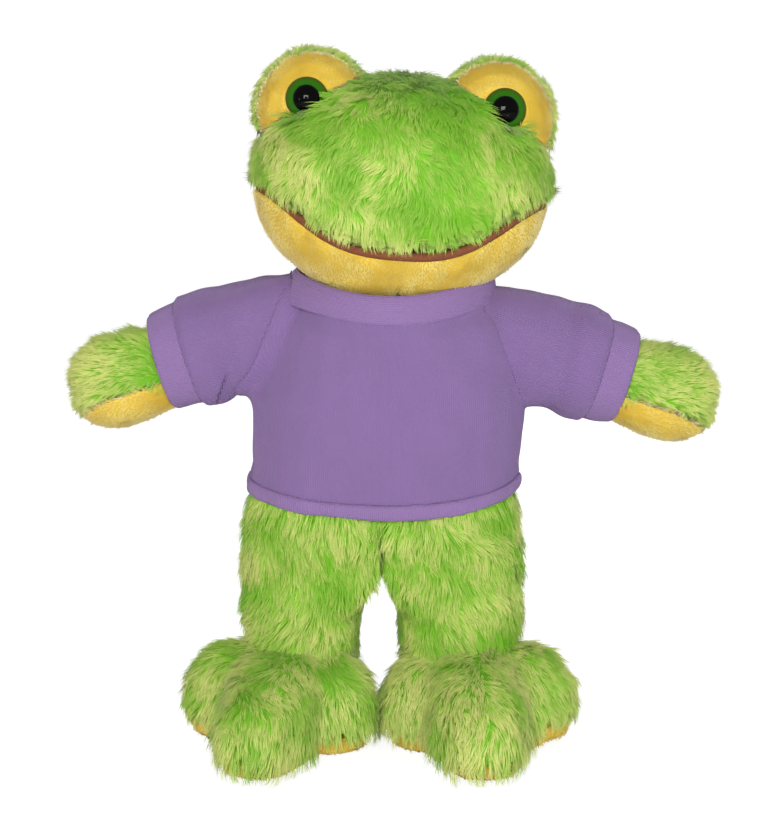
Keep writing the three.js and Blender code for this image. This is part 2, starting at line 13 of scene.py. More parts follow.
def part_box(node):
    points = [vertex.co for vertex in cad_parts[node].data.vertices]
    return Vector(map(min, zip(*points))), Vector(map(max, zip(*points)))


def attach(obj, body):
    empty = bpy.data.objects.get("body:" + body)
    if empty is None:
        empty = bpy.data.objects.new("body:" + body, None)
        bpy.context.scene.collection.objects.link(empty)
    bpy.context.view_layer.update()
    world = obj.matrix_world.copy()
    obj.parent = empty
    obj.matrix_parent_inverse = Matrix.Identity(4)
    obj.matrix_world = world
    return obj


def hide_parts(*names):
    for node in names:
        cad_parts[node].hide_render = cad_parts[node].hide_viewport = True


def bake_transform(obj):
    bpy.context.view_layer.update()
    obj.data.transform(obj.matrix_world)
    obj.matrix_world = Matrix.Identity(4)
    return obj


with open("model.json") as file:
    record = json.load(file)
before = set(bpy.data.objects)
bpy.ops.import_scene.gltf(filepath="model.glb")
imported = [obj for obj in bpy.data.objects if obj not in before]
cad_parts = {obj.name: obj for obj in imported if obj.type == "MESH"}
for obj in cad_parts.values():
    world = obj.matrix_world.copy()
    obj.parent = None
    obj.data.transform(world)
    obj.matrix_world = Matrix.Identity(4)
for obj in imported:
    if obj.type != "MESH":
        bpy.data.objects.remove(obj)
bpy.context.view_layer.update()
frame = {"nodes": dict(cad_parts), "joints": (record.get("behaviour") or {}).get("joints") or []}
MM = 0.001
SIDES = {"left": 1, "right": -1}


# Colours and materials

def linear(code):
    """A colour written as 0xRRGGBB, as the linear values that a shader takes."""
    parts = [((code >> shift) & 255) / 255 for shift in (16, 8, 0)]
    return [c / 12.92 if c <= 0.04045 else ((c + 0.055) / 1.055) ** 2.4 for c in parts] + [1.0]


class Nodes:
    """The node tree of a new material or world, with a short call for each node."""

    def __init__(self, name, owners=bpy.data.materials, output="ShaderNodeOutputMaterial"):
        self.owner = owners.new(name)
        self.owner.use_nodes = True
        self.tree = self.owner.node_tree
        self.tree.nodes.clear()
        self.output = self.tree.nodes.new(output)

    def node(self, kind, inputs=None, **settings):
        node = self.tree.nodes.new(kind)
        for key, value in settings.items():
            setattr(node, key, value)
        for key, value in (inputs or {}).items():
            if isinstance(value, bpy.types.NodeSocket):
                self.tree.links.new(value, node.inputs[key])
            else:
                node.inputs[key].default_value = value
        return node

    def attribute(self, name):
        return self.node("ShaderNodeAttribute", attribute_name=name)

    def noise(self, scale, detail):
        vector = self.node("ShaderNodeTexCoord").outputs["Object"]
        inputs = {"Vector": vector, "Scale": scale, "Detail": detail}
        return self.node("ShaderNodeTexNoise", inputs).outputs["Fac"]

    def math(self, operation, a, b=0.0, clamp=False):
        settings = {"operation": operation, "use_clamp": clamp}
        return self.node("ShaderNodeMath", {0: a, 1: b}, **settings).outputs[0]

    def band(self, value, low, high, to_low=0.0, to_high=1.0):
        inputs = {"Value": value, "From Min": low, "From Max": high, "To Min": to_low, "To Max": to_high}
        node = self.node("ShaderNodeMapRange", inputs, interpolation_type="SMOOTHSTEP")
        return node.outputs["Result"]

    def mix(self, share, a, b):
        return self.node("ShaderNodeMix", {0: share, 6: a, 7: b}, data_type="RGBA").outputs[2]

    def bump(self, height, strength, distance):
        inputs = {"Height": height, "Strength": strength, "Distance": distance}
        return self.node("ShaderNodeBump", inputs).outputs["Normal"]

    def finish(self, **inputs):
        named = {k.replace("_", " ").title().replace("Ior", "IOR"): v for k, v in inputs.items()}
        return self.show(self.node("ShaderNodeBsdfPrincipled", named))

    def show(self, shader):
        self.tree.links.new(shader.outputs[0], self.output.inputs[0])
        return self.owner


def pile_material(name, roots, tips, sheen, sheen_tint):
    """Pile: darker at its roots and paler at its tips, varied from tuft to tuft."""
    n = Nodes(name)
    rise = n.attribute("rise").outputs["Fac"]
    tint = n.attribute("tint").outputs["Fac"]
    root = n.mix(tint, linear(roots[0]), linear(roots[1]))
    tip = n.mix(tint, linear(tips[0]), linear(tips[1]))
    start = n.band(tint, 0.0, 1.0, 0.5, 0.2)
    share = n.band(n.math("SUBTRACT", rise, start), 0.0, 0.5)
    return n.finish(base_color=n.mix(share, root, tip), roughness=0.62, specular_ior_level=0.22,
                    sheen_weight=sheen, sheen_roughness=0.45, sheen_tint=linear(sheen_tint))


def matted(name, dark, light, grain, detail, rough, hairs, strength, depth):
    """Felt, and the backing cloth under the pile."""
    n = Nodes(name)
    colour = n.mix(n.noise(grain, detail), linear(dark), linear(light))
    return n.finish(base_color=colour, roughness=rough, specular_ior_level=0.1,
                    normal=n.bump(n.noise(hairs, 3.0), strength, depth))


COURSE_PITCH = 0.9  # from one row of stitches to the next, in millimetres


def knit_material(name, rib_pitch, rib_depth, tone):
    """Knitted cotton: columns of stitches along the piece, by its own places in millimetres."""
    n = Nodes(name)
    place = n.attribute("knit").outputs["Vector"]
    split = n.node("ShaderNodeSeparateXYZ", {0: place}).outputs
    column = n.math("SINE", n.math("MULTIPLY", split[0], 2 * math.pi / rib_pitch))
    course = n.math("SINE", n.math("MULTIPLY", split[1], 2 * math.pi / COURSE_PITCH))
    stitch = n.math("ADD", column, n.math("MULTIPLY", course, 0.45))
    fuzz = n.noise(2600, 3.0)
    broad = n.math("MULTIPLY", n.noise(60, 3.0), 0.10)
    # Stripes along the columns are painted shade of the ribs; the broad and fine noise is the yarn's own
    # tone.
    shade = n.math("ADD", n.math("MULTIPLY", column, 0.035), broad)
    shade = n.math("ADD", shade, n.math("MULTIPLY", fuzz, 0.22))
    dark, light = linear(tone - 0x141216), linear(tone + 0x161418)
    colour = n.mix(n.math("ADD", shade, 0.31, clamp=True), dark, light)
    height = n.math("ADD", stitch, n.math("MULTIPLY", fuzz, 1.4))
    return n.finish(base_color=colour, roughness=0.88, specular_ior_level=0.16, sheen_weight=0.3,
                    sheen_roughness=0.5, sheen_tint=linear(0xc8b4dc),
                    normal=n.bump(height, 0.55, rib_depth))


def plastic(name, grain, detail, dark, light, **surface):
    n = Nodes(name)
    return n.finish(base_color=n.mix(n.noise(grain, detail), linear(dark), linear(light)), **surface)


GREEN_PILE = pile_material("green pile", (0x68a820, 0x8cbc3c), (0x90b844, 0xc4cc74), 0.25, 0xdcf0b0)
YELLOW_PILE = pile_material("yellow pile", (0xc09c2c, 0xd6bc4a), (0xc8ac3c, 0xe2d078), 0.8, 0xfff0c0)
GREEN_SKIN = matted("green backing", 0x5ca01c, 0x78b430, 900, 3.0, 0.9, 1350, 0.6, 0.0006)
YELLOW_SKIN = matted("yellow velour backing", 0xc4a034, 0xd0b044, 1400, 3.0, 0.9, 2100, 0.6, 0.0003)
FELT = matted("brown felt", 0x5c3422, 0x7e4e36, 700, 4.0, 0.95, 2200, 0.7, 0.0004)
JERSEY = knit_material("purple jersey", 1.15, 0.00022, 0x6f5885)
RIBBING = knit_material("purple ribbing", 1.25, 0.0003, 0x7a618f)
PUPIL = plastic("black eye plastic", 300, 1.0, 0x010101, 0x040304, roughness=0.04, specular_ior_level=0.08)
WASHER = plastic("lock washer plastic", 400, 2.0, 0xd8d8d0, 0xe8e8e2, roughness=0.4)

# The moulded eye: a green ring, darker towards its rim and around the centre
n = Nodes("green eye plastic")
spoke = n.attribute("spoke").outputs["Fac"]
ring = n.mix(n.band(spoke, 0.52, 0.64), linear(0x0c2a00), linear(0x1e5802))
ring = n.mix(n.band(spoke, 0.70, 0.98), ring, linear(0x344002))
flecks = n.band(n.noise(1500, 2.0), 0.35, 0.7, 0.0, 0.25)
EYE = n.finish(base_color=n.mix(flecks, ring, linear(0x2c6e0a)), roughness=0.12, specular_ior_level=0.16)


# Meshes from numbers

def new_object(name, data):
    obj = bpy.data.objects.new(name, data)
    bpy.context.scene.collection.objects.link(obj)
    return obj


def coat(obj, material):
    """Gives an object one material and smooth shading."""
    obj.data.materials.clear()
    obj.data.materials.append(material)
    obj.data.shade_smooth()
    return obj


def mesh_object(name, points, faces, material):
    """An object from its points and faces, which the pile gives as an array of triangles."""
    mesh = bpy.data.meshes.new(name)
    if isinstance(faces, np.ndarray):
        mesh.vertices.add(len(points))
        mesh.vertices.foreach_set("co", np.asarray(points, np.float32).ravel())
        count, size = faces.shape
        mesh.loops.add(count * size)
        mesh.loops.foreach_set("vertex_index", faces.astype(np.int32).ravel())
        mesh.polygons.add(count)
        mesh.polygons.foreach_set("loop_start", np.arange(0, count * size, size, dtype=np.int32))
        mesh.update(calc_edges=True)
    else:
        mesh.from_pydata([tuple(p) for p in points], [], faces)
    return coat(new_object(name, mesh), material)


def quads(rows, around, closed=False):
    """Faces between rows of points, of which each goes once round."""
    for row in range(rows if closed else rows - 1):
        here, there = row * around, (row + 1) % rows * around
        for i in range(around):
            j = (i + 1) % around
            yield here + i, here + j, there + j, there + i


def put(mesh, name, values, kind="FLOAT"):
    attribute = mesh.attributes.new(name, kind, "POINT")
    key = "value" if kind == "FLOAT" else "vector"
    attribute.data.foreach_set(key, np.asarray(values, np.float32).ravel())


def read(items, key, width=1, kind=np.float32):
    """One property of all items, in rows of the given width."""
    values = np.empty(len(items) * width, kind)
    items.foreach_get(key, values)
    return values.reshape(-1, width) if width > 1 else values


def corners(mesh):
    return read(mesh.vertices, "co", 3).astype(float)


def vertex_normals(mesh):
    return read(mesh.vertex_normals, "vector", 3).astype(float)


def triangles(mesh):
    mesh.calc_loop_triangles()
    return read(mesh.loop_triangles, "vertices", 3, np.int32)


def move(mesh, points):
    mesh.vertices.foreach_set("co", np.asarray(points, np.float32).ravel())
    mesh.update()


def opened(mesh):
    shape = bmesh.new()
    shape.from_mesh(mesh)
    return shape


def from_bmesh(name, shape):
    mesh = bpy.data.meshes.new(name)
    shape.to_mesh(mesh)
    shape.free()
    return new_object(name, mesh)


def bisect(shape, point, normal, clear=False, dist=1e-6):
    """Cuts a bmesh's faces along a plane, and clears what lies ahead of it where asked to."""
    whole = shape.verts[:] + shape.edges[:] + shape.faces[:]
    return bmesh.ops.bisect_plane(shape, geom=whole, plane_co=point, plane_no=normal,
                                  clear_outer=clear, dist=dist)


def apply_modifiers(obj):
    depsgraph = bpy.context.evaluated_depsgraph_get()
    obj.data = bpy.data.meshes.new_from_object(obj.evaluated_get(depsgraph))
    obj.modifiers.clear()


def unit(v):
    return v / np.maximum(np.linalg.norm(v, axis=-1, keepdims=True), 1e-9)


def smoothstep(x, low, high):
    t = np.clip((x - low) / (high - low), 0, 1)
    return t * t * (3 - 2 * t)


def waves(points, scale, seed, count=8):
    """Smooth noise about zero: sine waves in seeded directions. Scale and points in metres."""
    g = np.random.default_rng(seed)
    ways = unit(g.normal(size=(count, 3))) * g.uniform(0.7, 1.5, (count, 1)) * 2 * math.pi / scale
    return np.sin(points @ ways.T + g.uniform(0, 2 * math.pi, count)).sum(1) / math.sqrt(count / 2)


# Skins

def smooth_copy(name, nodes, material, voxel, passes, inset, swell=None):
    """One smooth closed skin over copies of CAD solids, drawn in by the pile's depth."""
    parts = []
    for node in nodes:
        shape = opened(frame["nodes"][node].data)
        bmesh.ops.remove_doubles(shape, verts=shape.verts, dist=1e-6)
        if swell:
            shape.normal_update()
            for vert in shape.verts:
                vert.co += vert.normal * swell[node] * MM
        parts.append(from_bmesh(f"{name} raw", shape))
    obj, *others = parts
    for other in others:
        join = obj.modifiers.new("join", "BOOLEAN")
        join.operation, join.solver, join.object = "UNION", "MANIFOLD", other
    remesh = obj.modifiers.new("remesh", "REMESH")
    remesh.mode = "VOXEL"
    remesh.voxel_size = voxel * MM
    ease = obj.modifiers.new("ease", "SMOOTH")
    ease.factor = 0.5
    ease.iterations = passes
    if inset:
        draw_in = obj.modifiers.new("draw in", "DISPLACE")
        draw_in.strength = -inset * MM
        draw_in.mid_level = 0
    apply_modifiers(obj)
    for other in others:
        bpy.data.objects.remove(other)
    obj.name = obj.data.name = name
    return coat(obj, material)


def cut_plane(obj, point, normal, name):
    """Cuts off what lies ahead of a plane, and closes the rest under a new name."""
    shape = opened(obj.data)
    done = bisect(shape, point, normal, True, 1e-7)
    rim = [e for e in done["geom_cut"] if isinstance(e, bmesh.types.BMEdge)]
    bmesh.ops.holes_fill(shape, edges=rim, sides=0)
    fresh = coat(from_bmesh(name, shape), obj.data.materials[0])
    bpy.data.objects.remove(obj)
    return fresh


# Pile

OFF_FLOOR = 0.0004  # lowest that a fibre hangs
MOST_TRIANGLES = 199000  # in one piece of pile
BENDS = (0.36, 0.70)  # where a fibre bends, as shares of its length


def carry(obj, body):
    """Rides an object on one body. Given two bodies and a joint, it only bakes the object's place into its
    mesh.
    """
    if isinstance(body, tuple):
        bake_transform(obj)
    else:
        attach(obj, body)


def dress(obj, body, node):
    """Puts an object in the place of a CAD piece."""
    carry(obj, body)
    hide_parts(node)


@dataclass(frozen=True)
class Pile:
    """Tufts of pile over a skin. Lengths in millimetres and angles in degrees."""
    material: bpy.types.Material
    slot: str
    length: float
    spacing: float  # from one tuft to the next
    spread: float  # a tuft's radius at its root
    width: float  # of one fibre
    per: int = 7  # fibres to a tuft
    lift: float = 30  # of a fibre off the skin, at its root
    lie: float = 6  # and at its tip
    clump: float = 0.8  # share by which a tuft's tips close up
    swirl: float = 20  # how far neighbouring tufts turn from each other
    fall: float = 0.12  # pull of its weight on the tips
    steps: int = 3  # bends along a fibre
    relief: float = 0.55  # how far a fibre's sides turn from the skin's own shading

    def roots(self, obj, seed, keep=None):
        """Places for tufts, spread evenly over an object's surface, and the normals there."""
        g = np.random.default_rng(seed)
        spacing = self.spacing * MM
        co, tris = corners(obj.data), triangles(obj.data)
        normals = vertex_normals(obj.data)
        a, b, c = (co[tris[:, i]] for i in range(3))
        area = np.linalg.norm(np.cross(b - a, c - a), axis=1) / 2
        tries = int(area.sum() / spacing ** 2 * 5)
        pick = g.choice(len(tris), tries, p=area / area.sum())
        u, v = g.random((2, tries, 1))
        u, v = np.where(u + v > 1, 1 - u, u), np.where(u + v > 1, 1 - v, v)
        at = a[pick] * (1 - u - v) + b[pick] * u + c[pick] * v
        out = sum(normals[tris[pick, i]] * w for i, w in enumerate((1 - u - v, u, v)))
        cell = np.floor(at / spacing + g.random(3)).astype(np.int64)
        _, first = np.unique(cell @ np.array([1, 4096, 4096 ** 2]), return_index=True)
        at, out = at[first], unit(out[first])
        kept = keep(at, out) if keep else slice(None)
        return at[kept], out[kept]

    def grow(self, name, at, out, flow, body, seed, longer=1.0, tint=0.0):
        """Fibres from the given roots, whose tufts lie along the flow."""
        g = np.random.default_rng(seed)
        count, per = len(at), self.per
        flow = unit(flow - out * (flow * out).sum(1, keepdims=True))
        turns = 0.55 * waves(at, 0.016, seed + 1) + 0.6 * waves(at, 0.045, seed + 2)
        angle = np.radians(self.swirl) * turns
        angle += np.radians(5) * g.normal(size=count)
        flow = flow * np.cos(angle)[:, None] + np.cross(out, flow) * np.sin(angle)[:, None]
        length = self.length * MM * g.uniform(0.78, 1.12, count) * longer
        lift = self.lift + 9 * waves(at, 0.02, seed + 3) + 4 * g.normal(size=count)
        lie = self.lie + 6 * waves(at, 0.014, seed + 4) + 3 * g.normal(size=count)
        lift, lie = np.radians(lift)[:, None], np.radians(lie)[:, None]
        rising = unit(flow * np.cos(lift) + out * np.sin(lift))
        lying = unit(flow * np.cos(lie) + out * np.sin(lie) + self.fall * DOWN)
        tint_here = 0.5 + 0.2 * waves(at, 0.035, seed + 5) + 0.1 * waves(at, 0.012, seed + 6)
        tint_here = tint_here + 0.045 * g.normal(size=count) + tint

        radius = self.spread * MM * np.sqrt(g.random((count, per)))
        turn = 2 * math.pi * g.random((count, per))
        side = np.cross(out, flow)
        ahead, aside = np.cos(turn)[..., None], np.sin(turn)[..., None]
        off = radius[..., None] * (ahead * flow[:, None] + aside * side[:, None])
        share = g.uniform(0.72, 1.08, (count, per, 1)) * length[:, None, None]
        loose = unit(g.normal(size=(count, per, 3)))
        root = at[:, None] + off - out[:, None] * 0.7 * MM
        first = rising[:, None] + 0.12 * loose
        second = lying[:, None] + 0.13 * loose
        hold = self.clump * g.uniform(0.7, 1.0, (count, per, 1))
        t1, t2 = BENDS
        p1 = root + share * t1 * first - off * hold * 0.35
        p2 = p1 + share * (t2 - t1) * unit(0.45 * first + 0.55 * second) - off * hold * 0.35
        p3 = p2 + share * (1 - t2) * unit(second) - off * hold * 0.3
        spine = np.stack([root, p1, p2, p3], 2).reshape(-1, 4, 3)
        spine[:, :, 2] = np.maximum(spine[:, :, 2], OFF_FLOOR)
        if self.steps == 2:
            spine = spine[:, [0, 2, 3]]
        tints = np.clip(tint_here[:, None] + 0.06 * g.normal(size=(count, per)), 0, 1).reshape(-1)
        up = np.repeat(out, per, 0)
        wide = self.width * MM * g.uniform(0.75, 1.25, count * per)
        self.make(name, spine, up, wide, tints, body)

    def make(self, name, spine, up, wide, tints, body):
        """Three-sided fibres round their spines, in pieces of a size that an export takes."""
        rings = spine.shape[1] - 1
        shares = {3: (0.9, 1.0, 0.66), 2: (0.95, 0.8)}[rings]
        heights = (0.0, *BENDS[1 - rings:])
        count = len(spine)
        points = np.empty((count, rings * 3 + 1, 3))
        shade = np.empty_like(points)
        for r in range(rings):
            along = unit(spine[:, r + 1] - spine[:, max(r - 1, 0)])
            side = unit(np.cross(along, up) + 1e-6)
            over = np.cross(side, along)
            for k in range(3):
                a = math.pi / 2 + 2 * math.pi * k / 3
                reach = (wide * shares[r] / 2)[:, None]
                outward = math.cos(a) * side + 0.75 * math.sin(a) * over
                points[:, r * 3 + k] = spine[:, r] + reach * outward
                shade[:, r * 3 + k] = unit(up + self.relief * outward)
        points[:, -1] = spine[:, -1]
        shade[:, -1] = up
        cell, across = [], []
        for r in range(rings - 1):
            for k in range(3):
                a, b = r * 3 + k, r * 3 + (k + 1) % 3
                cell += [(a, b + 3, b), (a, a + 3, b + 3)]
                across += [(0, 1, 1), (0, 0, 1)]
        last = (rings - 1) * 3
        cell += [(last + (k + 1) % 3, last + k, rings * 3) for k in range(3)] + [(0, 1, 2)]
        cell, across = np.array(cell), np.array(across + [(1, 0, 0.5)] * 4)
        rise = np.array([h for h in heights for _ in range(3)] + [1.0])
        level = rise[cell]
        level[-1, 2] = 0.02
        most = MOST_TRIANGLES // len(cell)
        for part, start in enumerate(range(0, count, most)):
            block = points[start:start + most]
            size = len(block)
            faces = (cell[None] + (np.arange(size) * points.shape[1])[:, None, None]).reshape(-1, 3)
            piece = mesh_object(f"{name}_{part + 1}", block.reshape(-1, 3), faces, self.material)
            places = np.empty((size,) + cell.shape + (2,), np.float32)
            places[..., 0] = 0.003 + 0.985 * tints[start:start + most, None, None] + 0.008 * across
            places[..., 1] = 0.008 + 0.98 * level
            piece.data.uv_layers.new(name="OFBake").uv.foreach_set("vector", places.ravel())
            put(piece.data, "custom_normal", shade[start:start + most], "FLOAT_VECTOR")
            put(piece.data, "rise", np.tile(rise, size))
            put(piece.data, "tint", np.repeat(tints[start:start + most], points.shape[1]))
            carry(piece, body)


FUR = Pile(GREEN_PILE, "green_fur", length=15, spacing=2.9, spread=2.1, width=0.5)
HEAD_FUR = Pile(GREEN_PILE, "green_fur", length=12, spacing=2.5, spread=1.8, width=0.5,
                lift=32, lie=9, swirl=30, clump=0.6, fall=0.2, relief=0.4)
MOUND_FUR = replace(HEAD_FUR, spacing=2.1)
HAND_FUR = Pile(GREEN_PILE, "green_fur", length=9.6, spacing=2.3, spread=1.7, width=0.46,
                lift=46, lie=28, clump=0.7)
VELOUR = Pile(YELLOW_PILE, "yellow_velour", length=2.9, spacing=1.32, spread=0.8, width=0.54,
              per=2, lift=52, lie=26, clump=0.3, swirl=50, fall=0.05, steps=2, relief=0.2)
FINE_VELOUR = replace(VELOUR, length=2.4, spacing=0.85, spread=0.5, width=0.34)
SOLE_PILE = replace(VELOUR, length=3.4, spacing=1.9, spread=1.1, width=0.9, lift=24, lie=6)
DOWN, FORWARD = np.array([0, 0, -1.0]), np.array([0, -1.0, 0])
AROUND = 72  # points round a turned piece, and round a leg
TURNS = np.linspace(0, 2 * math.pi, AROUND, endpoint=False)


def box(node):
    """The lowest and the highest corner of a CAD piece."""
    return [np.array(corner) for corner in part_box(node)]


# Head

JOINT = {joint["name"]: np.array(joint["pos_m"]) for joint in frame["joints"]}
NECK = JOINT["neck"]
WHORL = NECK + np.array([0.004, 0.012, 0.125])  # where the pile of the crown parts
LEAN = math.radians(3.2)
LIP, SMILE, HEAD_HALF = 0.025, 0.033, 0.0875  # the lip's height, how far its ends rise, half the head
MOUND = {}
for name in SIDES:
    ends = [corner for node in ("eye_patch", "eye_mound") for corner in box(f"{name}_{node}")]
    low, high = np.min(ends, 0), np.max(ends, 0)
    MOUND[name] = ((low + high) / 2, (high - low) / 2)


def near_mound(points):
    """One at a mound for an eye, fading to nothing 10 mm away; the way to it; and what it covers."""
    near, way = np.zeros(len(points)), np.zeros((len(points), 3))
    inside = np.zeros(len(points), bool)
    for middle, half in MOUND.values():
        gap = (np.linalg.norm((points - middle) / half, axis=1) - 1) * half.mean()
        here = 1 - smoothstep(gap, 0.002, 0.010)
        near = np.maximum(near, here)
        way += here[:, None] * unit(middle - points)
        inside |= gap < -0.0015
    return near, way, inside


def in_head(points):
    """Places measured in the head, which leans to its left: x across, z up from the neck's seam."""
    off = points - NECK
    c, s = math.cos(LEAN), math.sin(LEAN)
    return np.stack([c * off[:, 0] - s * off[:, 2], off[:, 1], s * off[:, 0] + c * off[:, 2]], 1)


def above_mouth(local):
    """Height above the mouth's line, of places measured in the head."""
    out = np.clip(np.abs(local[:, 0]) / HEAD_HALF, 0, 1)
    return local[:, 2] - (LIP + SMILE * np.sin(math.pi / 2 * out ** 1.5) ** 2)


# Where the head's fur is greener or yellower, seen from the front: tint, x, z, half width, half height
ZONES = [(-0.42, 0.012, 0.118, 0.042, 0.022), (-0.5, 0.018, 0.075, 0.024, 0.035),
         (0.3, -0.06, 0.07, 0.022, 0.03), (0.22, -0.01, 0.035, 0.05, 0.014),
         (-0.15, -0.035, 0.09, 0.014, 0.03)]


def zone_tint(local):
    x, z = local[:, 0], local[:, 2]
    return sum(tint * np.exp(-((x - to_x) / wide) ** 2 - ((z - to_z) / tall) ** 2)
               for tint, to_x, to_z, wide, tall in ZONES)


def seen_on_crown(p, n):
    """Leaves out what the mounds, the jaw and the neckband hide."""
    off = p - NECK
    over_jaw = (off[:, 1] < 0.02) & (np.hypot(off[:, 0] / HEAD_HALF, off[:, 1] / 0.06) < 0.8)
    in_neck = (np.hypot(off[:, 0], off[:, 1]) < 0.045) & (off[:, 2] < 0.03)
    return ~near_mound(p)[2] & ~((n[:, 2] < -0.5) & over_jaw) & ~in_neck


crown = smooth_copy("head_skin", ["head_crown"], GREEN_SKIN, 2.6, 10, 3.0)
co = corners(crown.data)
move(crown.data, co + 0.0018 * near_mound(co)[0][:, None] * vertex_normals(crown.data))
dress(crown, "head", "head_crown")

at, out = HEAD_FUR.roots(crown, 11, seen_on_crown)
local, off = in_head(at), at - NECK
lip, aside = above_mouth(local), np.abs(local[:, 0])
front = smoothstep(-local[:, 1], -0.01, 0.02)
lip_short = 1 - 0.3 * front * (1 - smoothstep(lip, 0.004, 0.016))
corner = smoothstep(aside, 0.055, 0.068) * front * (1 - smoothstep(lip, 0.004, 0.02))
cheek = smoothstep(aside, 0.066, 0.082) * (1 - smoothstep(local[:, 2], 0.08, 0.1))
under = (1 - smoothstep(off[:, 2], 0.038, 0.062)) * smoothstep(off[:, 1], -0.02, 0.01)
eyes = [np.mean(box(f"{name}_eye"), 0) for name in SIDES]
eye_gap = np.min([np.hypot(at[:, 0] - eye[0], at[:, 2] - eye[2]) for eye in eyes], 0)
brow = (1 - smoothstep(eye_gap, 0.015, 0.024)) * smoothstep(-off[:, 1], 0.0, 0.02)
near, way, _ = near_mound(at)
flow = unit((at - WHORL) * [1, 1, 0]) + 1.1 * DOWN + under[:, None] * np.array([0, 1.4, 0.6])
flow[:, 0] += 0.9 * local[:, 0] / HEAD_HALF
flow += 1.5 * way * (off[:, 1] < 0)[:, None] + 0.8 * corner[:, None] * DOWN
flow[:, 0] *= 1 - 0.5 * corner
flow[:, 2] += 0.8 * brow
longer = (1 - 0.45 * under) * lip_short * (1 - 0.15 * cheek)
longer *= (1 - 0.3 * near * (1 - brow) + 0.3 * brow) * (1 + 0.4 * corner)
HEAD_FUR.grow("head_fur", at, out, flow, "head", 21, longer, zone_tint(local))


def clear_of(obj, points, room):
    """Which points lie outside a closed object, and further from it than the room."""
    tree = BVHTree.FromPolygons([tuple(p) for p in corners(obj.data)], triangles(obj.data).tolist())
    clear = []
    for p in points:
        near, normal, _, gap = tree.find_nearest(Vector(p))
        clear.append((Vector(p) - near).dot(normal) > 0 and gap > room)
    return np.array(clear)


for name, side in SIDES.items():
    skin = smooth_copy(f"{name}_mound_skin", [f"{name}_eye_mound"], GREEN_SKIN, 2.2, 6, 1.7)
    dress(skin, "head", f"{name}_eye_mound")
    low, high = box(f"{name}_eye_mound")
    middle = (low + high) / 2
    at, out = MOUND_FUR.roots(skin, 31 + side, lambda p, n: (n[:, 1] > -0.8) & clear_of(crown, p, 0.0045))
    rim = 1 - smoothstep(at[:, 1], low[1] + 0.002, low[1] + 0.014)
    flow = np.array([0, 1.0, 0.1]) + rim[:, None] * (FORWARD + 1.2 * unit((at - middle) * [1, 0, 1]))
    MOUND_FUR.grow(f"{name}_mound_fur", at, out, flow, "head", 41 + side, 0.88 - 0.26 * rim, 0.42)

    patch = smooth_copy(f"{name}_patch_skin", [f"{name}_eye_patch"], YELLOW_SKIN, 1.4, 8, 1.0)
    backs = smoothstep(vertex_normals(patch.data)[:, 1], 0.05, 0.4)
    move(patch.data, corners(patch.data) + backs[:, None] * [0, 0.0050, 0])
    dress(patch, "head", f"{name}_eye_patch")
    at, out = FINE_VELOUR.roots(patch, 51 + side, lambda p, n: n[:, 1] < 0.3)
    edge = smoothstep(out[:, 1], -0.8, -0.3)
    flow = np.array([side * 0.3, 0, 1.0]) + 1.5 * edge[:, None] * unit((at - middle) * [1, 0, 1])
    # The pile is tinted paler at the patch's rim: painted rim sheen.
    FINE_VELOUR.grow(f"{name}_patch_pile", at, out, flow, "head", 61 + side,
                     1 + 0.9 * edge, 0.4 * edge - 0.35)

jaw = smooth_copy("jaw_skin", ["lower_jaw"], YELLOW_SKIN, 2.0, 8, 0.8)
co, normal = corners(jaw.data), vertex_normals(jaw.data)
local = in_head(co)
seam = np.exp(-((local[:, 0] - 0.002) / 0.0016) ** 2) * (1 - smoothstep(local[:, 2], 0.008, 0.018))
backs = smoothstep(normal[:, 1], 0.4, 0.9)
co = co - 0.0017 * (seam * (local[:, 1] < 0))[:, None] * normal + backs[:, None] * [0, 0.0045, 0]
move(jaw.data, co)
dress(jaw, "head", "lower_jaw")
at, out = VELOUR.roots(jaw, 71, lambda p, n: n[:, 2] < 0.6)
# The pile is tinted paler towards the jaw's sides: painted rim sheen.
painted_rim_sheen = smoothstep(np.abs(in_head(at)[:, 0]), 0.035, 0.08)
VELOUR.grow("jaw_pile", at, out, DOWN, "head", 81, tint=0.35 * painted_rim_sheen)

felt = smooth_copy("mouth_felt", ["mouth_lining"], FELT, 1.1, 4, -1.0)
co = corners(felt.data)
co[:, 2] -= 0.0006 + 0.0014 * smoothstep(in_head(co)[:, 0], -0.06, 0.02)
move(felt.data, co)
dress(felt, "head", "mouth_lining")


# Eyes

def lathe(name, centre, profile, material, node):
    """A turned piece about Y. The profile is (radius, y) in metres, from the front to the back."""
    points = [centre + [radius * math.cos(t), y, radius * math.sin(t)]
              for radius, y in profile for t in TURNS]
    front, back = range(AROUND), range(len(points) - AROUND, len(points))
    faces = [*quads(len(profile), AROUND), tuple(front), tuple(reversed(back))]
    piece = mesh_object(name, points, faces, material)
    widest = max(radius for radius, _ in profile)
    put(piece.data, "spoke", [radius / widest for radius, _ in profile for _ in TURNS])
    dress(piece, "head", node)


def dome(radius, rise, back):
    """A dome's profile from its top, and a rim that runs back from it."""
    turns = np.linspace(0, math.pi / 2, 14)
    ring = [(max(radius * math.sin(t), 1e-5), -rise * math.cos(t)) for t in turns]
    return ring + [(radius, back * 0.4), (radius * 0.96, back * 0.85), (radius * 0.88, back)]


